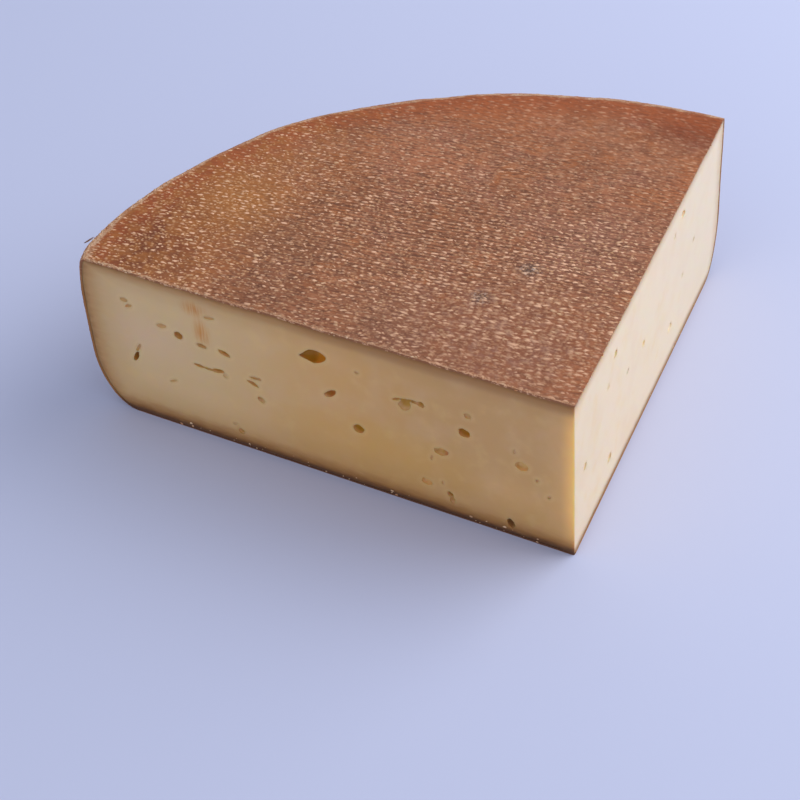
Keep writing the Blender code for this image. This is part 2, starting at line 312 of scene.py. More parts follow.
FRONT = CutFace(math.radians(180), math.radians(-90), 165, 200)
SIDE = CutFace(math.radians(180 - CUT_ANGLE), math.radians(90 - CUT_ANGLE), 120, 60)


def out_of_round(direction, height):
    """How much the wheel's radius differs from a circle's, in a direction in degrees and at a height."""
    lobes = sum(rise * math.cos(math.radians(count * (direction - crest))) for count, rise, crest in LOBES)
    bulge = BULGE_RISE * math.exp(-((direction - BULGE_DIRECTION) / BULGE_WIDTH) ** 2)
    tuck_share = max(0, (direction - TUCK_START) / TUCK_WIDTH)
    tuck = TUCK_DEPTH * min(tuck_share, TUCK_MOST) ** 2 * (height / WHEEL_HEIGHT) ** TUCK_POWER
    return lobes + bulge - tuck


def swell(point):
    return sum(rise * noise.noise(point / size) for size, rise in SWELLS)


def stretch(direction, height):
    return 1 + out_of_round(direction, height) / WHEEL_RADIUS


def direction_of(point):
    return math.degrees(math.atan2(point.y, point.x)) % 360


def wheel_section():
    """Radius, height and normal of the round side, from the base up to the flat top."""
    rows = []
    for step in range(SECTION_STEPS + 1):
        angle = math.radians(90 * step / SECTION_STEPS - 90)
        normal = Vector((math.cos(angle) / FOOT_WIDTH, math.sin(angle) / FOOT_HEIGHT)).normalized()
        radius = WHEEL_RADIUS - FOOT_WIDTH + FOOT_WIDTH * math.cos(angle)
        rows.append((radius, FOOT_HEIGHT + FOOT_HEIGHT * math.sin(angle), normal.x, normal.y))
    for step in range(SECTION_STEPS + 1):
        angle = math.radians(90 * step / SECTION_STEPS)
        out, up = math.cos(angle), math.sin(angle)
        radius = WHEEL_RADIUS - SHOULDER_RADIUS + SHOULDER_RADIUS * out
        rows.append((radius, WHEEL_HEIGHT - SHOULDER_RADIUS + SHOULDER_RADIUS * up, out, up))
    rows = np.array(rows)
    steps = np.hypot(*np.diff(rows[:, :2], axis=0).T)
    lengths = np.concatenate([[0], np.cumsum(steps)])
    return rows, lengths / lengths[-1], lengths[-1]


SECTION, SECTION_SHARES, SECTION_LENGTH = wheel_section()


def section_at(share):
    """The section's row at a share of its length, 0 at the base and 1 at the flat top."""
    return tuple(np.interp(share, SECTION_SHARES, column) for column in SECTION.T)


def wheel_point(direction, section):
    """A point of the outer surface and its normal, out of round and uneven as the wheel is."""
    radius, height, out, up = section
    outward = ray(math.radians(direction))
    normal = outward * out + UP * up
    rise = min(1, height / FOOT_HEIGHT) * swell(outward * radius + UP * height)
    return outward * (radius * stretch(direction, height)) + UP * height + normal * rise, normal


def cut_direction(section, face):
    """The direction in which the outer surface meets a cut face."""
    inside, outside = face.inside, face.outside
    for _ in range(HALVINGS):
        middle = (inside + outside) / 2
        if face.ahead(wheel_point(middle, section)[0]) > 0:
            outside = middle
        else:
            inside = middle
    return inside


def round_row(share, columns, sink=0):
    """Points from the front cut to the side cut, round the wheel at one share of its section.

    Each comes with its normal and its direction, and lies `sink` below the outer surface.
    """
    section = section_at(share)
    start, end = cut_direction(section, FRONT), cut_direction(section, SIDE)
    row = []
    for column in range(columns + 1):
        direction = start + (end - start) * column / columns
        point, normal = wheel_point(direction, section)
        point = point - normal * sink
        if column == 0:
            point = FRONT.pin(point)
        if column == columns:
            point = SIDE.pin(point)
        row.append((point, normal, direction))
    return row


def top_height(point):
    """The height of the flat top's outer surface over a point."""
    shrink = 1 / stretch(direction_of(point), WHEEL_HEIGHT)
    return WHEEL_HEIGHT + swell(Vector((point.x * shrink, point.y * shrink, WHEEL_HEIGHT)))


def soften_corner(point):
    """Round the edge where the two cuts meet: a square corner's points go to a circle's."""
    offset = point - CORNER
    back = offset.y / SIDE.runs.y
    along = (offset.x - SIDE.runs.x * back) / FRONT.runs.x
    if along >= CORNER_ROUNDING or back >= CORNER_ROUNDING:
        return point
    reach = Vector((CORNER_ROUNDING - along, CORNER_ROUNDING - back))
    if reach.length < 1e-9:
        return point
    reach = reach * (max(reach) / reach.length)
    plan = FRONT.runs * (CORNER_ROUNDING - reach.x) + SIDE.runs * (CORNER_ROUNDING - reach.y)
    return Vector((CORNER.x + plan.x, CORNER.y + plan.y, point.z))


def zip_rows(first, second):
    """Triangles between two rows of points that may differ in number.

    Their normals point along (the way the rows run) x (the way from the first to the second).
    """
    faces = []
    i = j = 0
    last_i, last_j = len(first) - 1, len(second) - 1
    while i < last_i or j < last_j:
        if j == last_j or (i < last_i and (i + 1) * last_j <= (j + 1) * last_i):
            faces.append((first[i], first[i + 1], second[j]))
            i += 1
        else:
            faces.append((first[i], second[j + 1], second[j]))
            j += 1
    return faces


NOWHERE = (0, 0, 0)
# What the pattern reads at each point: where it lies on the cloth, which way relief lifts it, how far it lies
# in from the rim, less than nothing on the side, how far below the outer surface, and which way fray lifts it
MARKS = ("cloth", "out", "rim", "depth", "fray")


class Shell:
    """Points and faces of one piece, with the marks of each point."""

    def __init__(self):
        self.points = []
        self.faces = []
        self.marks = []

    def place(self, point, cloth=NOWHERE, out=NOWHERE, rim=0, depth=0, fray=NOWHERE):
        self.points.append(point)
        self.marks.append((cloth, tuple(out), rim, depth, tuple(fray)))
        return len(self.points) - 1

    def add(self, point, *marks, **more):
        """Place a point that is given round the wheel's axis."""
        return self.place(soften_corner(point) + TO_FRAME, *marks, **more)

    def join(self, rows):
        for first, second in zip(rows, rows[1:]):
            self.faces += zip_rows(first, second)

    def mesh(self, name):
        mesh = bpy.data.meshes.new(name)
        mesh.from_pydata([tuple(point) for point in self.points], [], self.faces)
        return mesh


def store(mesh, name, values):
    """Keep one value or one vector for each point of the mesh."""
    values = np.asarray(values, np.float32)
    vectors = values.ndim == 2
    layer = mesh.attributes.new(name, "FLOAT_VECTOR" if vectors else "FLOAT", "POINT")
    layer.data.foreach_set("vector" if vectors else "value", values.ravel())


def mesh_from(name, bm):
    mesh = bpy.data.meshes.new(name)
    bm.to_mesh(mesh)
    bm.free()
    return mesh


def new_object(name, data):
    """A new object in the scene."""
    thing = bpy.data.objects.new(name, data)
    bpy.context.scene.collection.objects.link(thing)
    return thing


def add_piece(name, mesh, material, slot):
    piece = new_object(name, mesh)
    mesh.materials.clear()
    mesh.materials.append(material)
    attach(piece, "root")
    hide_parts("cheese_wedge")
    return piece


def evaluated_mesh(piece):
    """The mesh of a piece with its modifiers applied."""
    bpy.context.view_layer.update()
    evaluated = piece.evaluated_get(bpy.context.evaluated_depsgraph_get())
    return bpy.data.meshes.new_from_object(evaluated)


def fan_share(ring):
    """How far out a ring of the hidden fan lies, 0 at the corner and 1 at the round side."""
    return (ring / PASTE_COLUMNS) ** PASTE_CLOSER


def hidden_fan(rim_share, height_at):
    """Rings of points about the corner, under the top's rind or over the base's."""
    rings = []
    for ring in range(PASTE_COLUMNS + 1):
        columns = max(1, round(HIDDEN_COLUMNS * ring / PASTE_COLUMNS))
        rim = round_row(rim_share, columns, RIND_THICKNESS)
        share = fan_share(ring)
        points = []
        for point, _, _ in rim if ring else rim[:1]:
            plan = CORNER + (point - CORNER) * share
            plan.z = height_at(plan)
            points.append(plan)
        rings.append(points)
    return rings


def under_top(point):
    return top_height(point) - RIND_THICKNESS


def over_base(_point):
    return RIND_THICKNESS


def base_height(_point):
    return 0


UNDER_TOP = hidden_fan(1, under_top)
OVER_BASE = hidden_fan(0, over_base)
INNER_ROWS = [round_row(row / PASTE_ROWS, HIDDEN_COLUMNS, RIND_THICKNESS) for row in range(PASTE_ROWS + 1)]


def pick(rows, end):
    """The first point of each row, or with -1 the last."""
    return [row[end] for row in rows]


def wall_rows(shell, outer, inner, shares, looks, starts=None, ends=None):
    """Rows of points from one of the outer surface down to one below it, which may differ in number.

    The shares say where the lower row's points lie along it, and the ends may be another wall's.
    """
    upper = [shell.points[index] for index in outer]
    lower = np.array([tuple(shell.points[index]) for index in inner]).T
    last = len(outer) - 1
    rows = [outer]
    for level in range(1, WALL_ROWS):
        part = level / WALL_ROWS
        row = []
        for step, point in enumerate(upper):
            if starts and step == 0:
                row.append(starts[level])
            elif ends and step == last:
                row.append(ends[level])
            else:
                foot = Vector([np.interp(step / last, shares, column) for column in lower])
                row.append(shell.place(point.lerp(foot, part), depth=part, fray=looks * (1 - part)))
        rows.append(row)
    return rows + [inner]


def flat_rind(spacing, rim_share, height_at, hidden, outward, cloth_layer, frayed):
    """The rind on the top or the base: a fine outer fan, the hidden fan, and walls between them.

    Where `frayed` is 1 and not 0, the cut edges stand out raggedly.
    """
    shell = Shell()
    rim_row = round_row(rim_share, 1)
    reach = max((point - CORNER).length for point, _, _ in rim_row)
    rings = round(reach / spacing)
    arc = WHEEL_RADIUS * math.radians(rim_row[0][2] - rim_row[1][2])
    most_columns = round(arc / spacing)
    outer = []
    for ring in range(rings + 1):
        share = ring / rings
        row = round_row(rim_share, max(1, round(most_columns * share)))
        indices = []
        for column, (rim_point, _, _) in enumerate(row if ring else row[:1]):
            point = CORNER + (rim_point - CORNER) * share
            point.z = height_at(point)
            rim = (rim_point.xy.length - point.xy.length) / MM
            cloth = (point.x / MM, point.y / MM, cloth_layer)
            fray = Vector(NOWHERE)
            if column == 0:
                fray += FRONT.looks * frayed
            if ring == 0 or column == len(row) - 1:
                fray += SIDE.looks * frayed
            indices.append(shell.add(point, cloth, outward, rim, fray=fray))
        outer.append(indices)
    inner = [[shell.add(point, depth=1) for point in ring] for ring in hidden]
    fan = [fan_share(ring) for ring in range(len(hidden))]
    front = wall_rows(shell, pick(outer, 0), pick(inner, 0), fan, FRONT.looks * frayed)
    side = wall_rows(shell, pick(outer, -1), pick(inner, -1), fan, SIDE.looks * frayed, pick(front, 0))
    even = np.linspace(0, 1, len(inner[-1]))
    rim = wall_rows(shell, outer[-1], inner[-1], even, Vector(NOWHERE), pick(front, -1), pick(side, -1))
    for rows in (outer, inner[::-1], front, side[::-1], rim):
        shell.join(rows)
    if outward.z < 0:
        shell.faces = [face[::-1] for face in shell.faces]
    return shell


def side_rind():
    """The rind on the round side, from the rim down to the base."""
    shell = Shell()
    rows = round(SECTION_LENGTH / RIND_SPACING)
    rim_row = round_row(1, 1)
    columns = round(WHEEL_RADIUS * math.radians(rim_row[0][2] - rim_row[1][2]) / RIND_SPACING)
    outer = []
    for row in range(rows + 1):
        share = 1 - row / rows
        down = (1 - share) * SECTION_LENGTH / MM
        indices = []
        for point, normal, direction in round_row(share, columns):
            cloth = (math.radians(direction) * WHEEL_RADIUS / MM, down, SIDE_CLOTH)
            indices.append(shell.add(point, cloth, normal, -down))
        outer.append(indices)
    inner = []
    for row in reversed(INNER_ROWS):
        inner.append([shell.add(point, depth=RIND_THICKNESS / MM) for point, _, _ in row])
    cuts = [pick(outer, 0), pick(inner, 0)], [pick(inner, -1), pick(outer, -1)]
    for rows in (outer, inner[::-1], [inner[0], outer[0]], [outer[-1], inner[-1]], *cuts):
        shell.join(rows)
    return shell


def paste_body():
    """The paste inside the rind: two fine cut faces, and plain faces where the rind hides it."""
    shell = Shell()
    corner_low, corner_high = [Vector((*CORNER.xy, height(CORNER))) for height in (over_base, under_top)]

    def cut_points(row, end):
        share = row / PASTE_ROWS
        far = INNER_ROWS[row][end][0]
        near = corner_low.lerp(corner_high, share)
        far_top = INNER_ROWS[-1][end][0]
        points = []
        for column in range(1, PASTE_COLUMNS + 1):
            along = fan_share(column)
            point = near.lerp(far, along)
            line = corner_high.lerp(far_top, along).z
            point.z += share ** 2 * (under_top(point) - line)
            points.append(point)
        return points

    sheet, loops = [], []
    for row in range(PASTE_ROWS + 1):
        near = corner_low.lerp(corner_high, row / PASTE_ROWS)
        front = cut_points(row, 0)[::-1]
        side = cut_points(row, -1)
        cut = [shell.add(point) for point in front + [near] + side]
        back = [shell.add(point) for point, _, _ in INNER_ROWS[row][-2:0:-1]]
        sheet.append(cut)
        loops.append(cut + back + cut[:1])
    shell.join(loops)

    for fan, row, upward in ((OVER_BASE, 0, False), (UNDER_TOP, PASTE_ROWS, True)):
        rings = [[sheet[row][PASTE_COLUMNS]]]
        for ring, points in enumerate(fan[1:], 1):
            if ring < PASTE_COLUMNS:
                middle = [shell.add(point) for point in points[1:-1]]
            else:
                middle = loops[row][2 * PASTE_COLUMNS + 1:-1][::-1]
            rings.append([sheet[row][PASTE_COLUMNS - ring]] + middle + [sheet[row][PASTE_COLUMNS + ring]])
        shell.join(rings if upward else rings[::-1])
    return shell


def uneven_ball(size, sides, seed, taper):
    """An ellipsoid of the given full sizes whose wall strays a little, and whose left end may taper."""
    bm = bmesh.new()
    bmesh.ops.create_uvsphere(bm, u_segments=sides, v_segments=sides // 2, radius=0.5)
    for vert in bm.verts:
        waves = [rise * noise.noise(vert.co * lumps + seed) for rise, lumps in EYE_STRAYS]
        stray = 1 + (1 - taper) * sum(waves)
        pinch = 1 - taper * max(0, -2 * vert.co.x)
        parts = (vert.co.x, vert.co.y * pinch, vert.co.z * pinch)
        vert.co = Vector([part * length * stray for part, length in zip(parts, size)])
    return mesh_from("eye", bm)


def eye_cutters():
    collection = bpy.data.collections.new("eye_cutters")
    bpy.context.scene.collection.children.link(collection)
    rows = ((FRONT, [LARGE_EYE], LARGE_EYE_TAPER), (FRONT, FRONT_EYES, 0), (SIDE, SIDE_EYES, 0))
    for face, eyes, taper in rows:
        for distance, height, width, tall, depth, turn in eyes:
            depth *= SIDE_EYE_SHARE if face is SIDE else 1
            depth *= SMALL_EYE_SHARE if max(width, tall) < SMALL_EYE else 1
            girth = math.pi * (width + tall) / 2 / EYE_FACET
            sides = 2 * round(min(EYE_MOST_SIDES, max(EYE_FEWEST_SIDES, girth)) / 2)
            size = Vector((width, tall, 2 * depth)) * MM
            ball = uneven_ball(size, sides, Vector((distance, height, width)), taper)
            cutter = bpy.data.objects.new("eye", ball)
            place = face.frame(distance * MM, height * MM, EYE_SINK * depth * MM)
            tilt = math.radians(EYE_TILTS.get((distance, height), 0))
            turned = Matrix.Rotation(tilt, 4, "X") @ Matrix.Rotation(math.radians(turn), 4, "Z")
            cutter.matrix_world = Matrix.Translation(TO_FRAME) @ place @ turned
            collection.objects.link(cutter)
    return collection


def cut_eyes(mesh):
    """The paste's mesh with the eyes and slits cut out of it."""
    collection = eye_cutters()
    body = new_object("paste_body", mesh)
    cut = body.modifiers.new("eyes", "BOOLEAN")
    cut.operation = "DIFFERENCE"
    cut.solver = "EXACT"
    cut.operand_type = "COLLECTION"
    cut.collection = collection
    opened = evaluated_mesh(body)
    for thing in [body] + list(collection.objects):
        bpy.data.objects.remove(thing, do_unlink=True)
    bpy.data.collections.remove(collection)
    return opened


def rind_nearness(point, face):
    """How far a point lies from the rind, in millimetres, counted in widths of the rind's brown edge."""
    below_top = (top_height(point) - point.z) / MM
    above_base = point.z / MM / (BASE_EDGE_WIDTH if face is FRONT else 1)
    height = min(max(point.z, 0), WHEEL_HEIGHT)
    radius = np.interp(height, SECTION[:, 1], SECTION[:, 0]) * stretch(direction_of(point), height)
    from_round = (radius - point.xy.length) / MM / ROUND_EDGE_WIDTH
    return min(below_top, above_base, from_round + ROUND_EDGE_PALER)


def dress_paste(mesh):
    """Round the eyes' rims, give the faces a knife's waves, and store what the material reads."""
    places = [vert.co - TO_FRAME for vert in mesh.vertices]
    sides = [(FRONT if FRONT.ahead(p) > SIDE.ahead(p) else SIDE, p) for p in places]
    behind = []
    for face, p in sides:
        at_corner = (p - CORNER).xy.length < 2 * CORNER_ROUNDING
        behind.append(0 if at_corner else max(0, -face.ahead(p)) / MM)
    store(mesh, "rest", [tuple((p + TO_FRAME) / MM) for p in places])
    store(mesh, "behind", behind)
    store(mesh, "from_rind", [rind_nearness(p, face) for face, p in sides])
    store(mesh, "face", [(face.runs.dot(p - CORNER) / MM, p.z / MM, face is SIDE) for face, p in sides])

    on_face = [gap < ON_FACE for gap in behind]
    rims = set()
    for edge in mesh.edges:
        first, second = edge.vertices
        if on_face[first] != on_face[second]:
            rims.add(first if on_face[first] else second)
    tree = KDTree(len(rims))
    for index in rims:
        tree.insert(places[index], index)
    tree.balance()
    gaps = [tree.find(p)[2] / MM if on else 0 for p, on in zip(places, on_face)]
    store(mesh, "near_eye", [math.exp(-(gap / EYE_HALO) ** 2) for gap in gaps])
    for vert, on, (face, p) in zip(mesh.vertices, on_face, sides):
        if on:
            across = Vector((face.runs.dot(p), p.z, face.looks.x)) / MM
            wave = noise.noise(Vector((across.x / KNIFE_LONG, across.y / KNIFE_TALL, across.z)))
            vert.co += face.looks * (KNIFE_RISE * wave - RIM_ROUNDING * (vert.index in rims))


class Tree:
    """Adds nodes to a shader's or a geometry's tree. A field is a socket or a plain number."""

    def __init__(self, tree):
        self.tree = tree

    def add(self, kind, inputs=(), **settings):
        node = self.tree.nodes.new(kind)
        for name, value in settings.items():
            setattr(node, name, value)
        for key, value in inputs:
            self.feed(node.inputs[key], value)
        return node

    def feed(self, socket, value):
        if isinstance(value, bpy.types.NodeSocket):
            self.tree.links.new(value, socket)
        else:
            socket.default_value = value

    def attribute(self, name, vector=False):
        if self.tree.bl_idname == "GeometryNodeTree":
            kind = "FLOAT_VECTOR" if vector else "FLOAT"
            node = self.add("GeometryNodeInputNamedAttribute", [("Name", name)], data_type=kind)
            return next(socket for socket in node.outputs if socket.enabled and socket.name == "Attribute")
        node = self.add("ShaderNodeAttribute", attribute_name=name)
        return node.outputs["Vector" if vector else "Fac"]

    def math(self, operation, *values):
        return self.add("ShaderNodeMath", enumerate(values), operation=operation).outputs[0]

    def vector(self, operation, *values):
        outputs = self.add("ShaderNodeVectorMath", enumerate(values), operation=operation).outputs
        return outputs["Value" if operation in ("LENGTH", "DOT_PRODUCT") else "Vector"]

    def plus(self, *values):
        return reduce(lambda a, b: self.math("ADD", a, b), values)

    def times(self, *values):
        return reduce(lambda a, b: self.math("MULTIPLY", a, b), values)

    def minus(self, a, b):
        return self.math("SUBTRACT", a, b)

    def joined(self, x, y):
        return self.add("ShaderNodeCombineXYZ", [(0, x), (1, y)]).outputs[0]

    def parts(self, vector):
        return tuple(self.add("ShaderNodeSeparateXYZ", [(0, vector)]).outputs)

    def ramp(self, value, low, high, to_low=0, to_high=1):
        """A smooth step between two values of a field."""
        inputs = enumerate((value, low, high, to_low, to_high))
        return self.add("ShaderNodeMapRange", inputs, interpolation_type="SMOOTHSTEP").outputs[0]

    def noise(self, vector, size, seed=0, detail=3, roughness=0.5):
        """Noise from 0 to 1, whose lumps have the given size: a number, or one for each axis."""
        sizes = size if isinstance(size, tuple) else (size, size, size)
        scale = tuple(1 / part for part in sizes)
        place = self.vector("MULTIPLY_ADD", vector, scale, (seed, 2 * seed, 3 * seed))
        inputs = [("Vector", place), ("Scale", 1), ("Detail", detail), ("Roughness", roughness)]
        return self.add("ShaderNodeTexNoise", inputs).outputs[0]

    def cells(self, place, stray):
        """Distance to the nearest point of a loose mesh, and three random values of that point."""
        inputs = [("Vector", place), ("Scale", 1), ("Randomness", stray)]
        node = self.add("ShaderNodeTexVoronoi", inputs, voronoi_dimensions="2D")
        return node.outputs["Distance"], *self.parts(node.outputs["Color"])

    def near(self, vector, x, y, wide, tall, blur=1):
        """1 at a place and 0 beyond an ellipse about it."""
        offset = self.vector("MULTIPLY_ADD", vector, (1 / wide, 1 / tall, 0), (-x / wide, -y / tall, 0))
        return self.ramp(self.vector("LENGTH", offset), 1 - blur, 1, 1, 0)

    def mix(self, share, first, second):
        """A colour between two. Each is a socket or the photo's values."""
        a, b = [colour(*tint) if isinstance(tint, tuple) else tint for tint in (first, second)]
        return self.add("ShaderNodeMix", [(0, share), (6, a), (7, b)], data_type="RGBA").outputs[2]

    def layers(self, surface, *layers):
        """A colour with others laid over it in turn, each with its share."""
        for share, tint in layers:
            surface = self.mix(share, surface, tint)
        return surface

    def stains(self, vector, table, *shares):
        """Layers for a table of places, reaches, strengths and colours."""
        for *area, strength, tint in table:
            yield self.times(self.near(vector, *area), *shares, strength), tint


def colour(*parts):
    """A colour given as the photo's values from 0 to 255."""
    shares = [part / 255 for part in parts]
    return (*[s / 12.92 if s <= 0.04045 else ((s + 0.055) / 1.055) ** 2.4 for s in shares], 1)


def rind_pattern(t):
    """The cloth's imprint: where cream dots lie, how bright they are, and how high the rind stands.

    Every field is returned under its name here.
    """
    rest = t.attribute("rest", vector=True)
    rim = t.attribute("rim")
    x, y, z = t.parts(rest)
    on_top = t.ramp(rim, -9, 0)
    sways = [t.times(t.minus(t.noise(rest, size, seed, 2), 0.5), most) for size, seed, most in CLOTH_SWAYS]
    swayed = t.vector("ADD", t.attribute("cloth", vector=True), t.joined(*sways))
    slip = t.times(t.minus(t.noise(rest, (5, 1.3, 5), 2.6, 1), 0.5), CLOTH_SLIP)
    row = t.vector("DOT_PRODUCT", swayed, CLOTH_ROWS)
    column = t.plus(t.vector("DOT_PRODUCT", swayed, CLOTH_COLUMNS), slip)
    turns = [t.times(t.minus(value, CLOTH_STRAY / 2), math.pi) for value in (row, column)]
    brick = t.times(t.math("COSINE", turns[0]), t.math("COSINE", turns[1]))
    on_row = t.math("COSINE", t.times(turns[0], 2))
    grain = t.minus(t.noise(rest, 0.5, 3.1, 2), 0.5)

    left_side = t.times(t.ramp(x, -76, -18, 1, 0), on_top)
    left_tip = t.times(t.near(rest, *LEFT_TIP), on_top)
    near_corner = t.near(rest, *NEAR_CORNER)
    soft = t.times(t.plus(near_corner, t.ramp(y, 15, 80)), on_top)
    sharp = t.ramp(soft, 0, 1, 1, 0.5)
    patches = t.noise(rest, 15, 4.2)
    thin_at_rim = t.times(t.ramp(rim, 0, 17, -0.6, 0), t.minus(1, left_tip), t.ramp(left_side, 0, 1, 1, 0.45))
    density = t.plus(
        t.ramp(patches, 0.32, 0.6, 0.62, 1.05),
        thin_at_rim,
        t.ramp(rim, -2, 0, 0.1, 0),
        t.times(left_side, -0.06),
        t.times(near_corner, 0.25),
    )

    distance, size, presence, bright = t.cells(t.joined(column, row), CLOTH_STRAY)
    radius = t.ramp(size, 0, 1, 0.15, 0.31)
    radius = t.plus(radius, t.times(brick, 0.04), t.times(left_side, -0.035), t.times(soft, 0.05))
    ragged = t.plus(distance, t.times(grain, 0.24))
    full, none = t.ramp(soft, 0, 1, 0.5, 0), t.ramp(soft, 0, 1, 1.3, 1.8)
    shape = t.ramp(ragged, t.times(radius, full), t.times(radius, none), 1, 0)
    present = t.ramp(t.minus(t.plus(density, t.times(brick, 0.45), 0.1), presence), -0.05, 0.1)
    strength = t.plus(t.ramp(bright, 0, 1, 0.2, 0.95), t.times(left_side, 0.2))
    dots = t.times(shape, present, strength)
    mound = t.times(t.ramp(distance, 0, t.times(radius, 1.6), 1, 0), present)

    inputs = [("Vector", swayed), ("Angle", ROW_TURN)]
    woven = t.add("ShaderNodeVectorRotate", inputs, rotation_type="Z_AXIS").outputs[0]
    small_mesh = t.vector("MULTIPLY_ADD", woven, SMALL_MESH, SMALL_MESH_SHIFT)
    distance, size, presence, bright = t.cells(small_mesh, SMALL_STRAY)
    radius = t.ramp(size, 0, 1, 0.2, 0.42)
    ragged = t.plus(distance, t.times(grain, 0.3))
    shape = t.ramp(ragged, t.times(radius, 0.3), t.times(radius, 1.4), 1, 0)
    present = t.ramp(t.minus(t.plus(t.times(density, 0.85), t.times(on_row, 0.3)), presence), -0.1, 0.1)
    small_dots = t.times(shape, present, t.ramp(bright, 0, 1, 0.2, 1), sharp)

    threads = t.minus(t.noise(woven, (3.6, 0.7, 1), 2.2, 2), 0.5)
    lumps = t.minus(t.noise(rest, 6.5, 6.1), 0.5)
    height = t.plus(
        t.times(mound, 0.15),
        t.times(small_dots, 0.05),
        t.times(on_row, t.near(rest, *CLEAR_ROWS), 0.05),
        t.times(threads, 0.22),
        t.times(lumps, 0.3),
        t.times(grain, 0.07),
    )
    torn = t.times(t.ramp(t.noise(rest, 1.5, 5.3), 0.42, 0.72), t.ramp(t.noise(rest, 9, 8.3), 0.35, 0.65))
    fray = t.plus(t.times(torn, 0.7), t.times(grain, 0.25), t.times(left_tip, torn, 0.5))
    return SimpleNamespace(**locals())


def raise_rind(piece):
    """Lift the rind's points by its pattern, so that the imprint is in the mesh."""
    group = bpy.data.node_groups.new("rind_relief", "GeometryNodeTree")
    for way in ("INPUT", "OUTPUT"):
        group.interface.new_socket("Geometry", in_out=way, socket_type="NodeSocketGeometry")
    t = Tree(group)
    pattern = rind_pattern(t)
    relief = t.vector("MULTIPLY", t.attribute("out", vector=True), t.times(pattern.height, MM))
    fray = t.vector("MULTIPLY", t.attribute("fray", vector=True), t.times(pattern.fray, MM))
    inputs = [("Geometry", t.add("NodeGroupInput").outputs[0]), ("Offset", t.vector("ADD", relief, fray))]
    t.add("NodeGroupOutput", [(0, t.add("GeometryNodeSetPosition", inputs).outputs[0])])
    modifier = piece.modifiers.new("relief", "NODES")
    modifier.node_group = group
    raised = evaluated_mesh(piece)
    piece.modifiers.remove(modifier)
    bpy.data.node_groups.remove(group)
    raised.name = piece.name
    piece.data = raised
    raised.shade_smooth()
    raised.set_sharp_from_angle(angle=SHARP_ANGLE)


def new_material(name, values):
    """A material whose shader has plain values on some of its sockets."""
    material = bpy.data.materials.new(name)
    material.use_nodes = True
    shader = material.node_tree.nodes["Principled BSDF"]
    for key, value in values.items():
        shader.inputs[key].default_value = value
    return material, shader, Tree(material.node_tree)


def finish_shader(t, shader, surface, relief, strength):
    """Give a shader its colour and its finest relief, in millimetres."""
    t.feed(shader.inputs["Base Color"], surface)
    bump = t.add("ShaderNodeBump", [("Height", relief), ("Strength", strength), ("Distance", MM)])
    t.feed(shader.inputs["Normal"], bump.outputs[0])


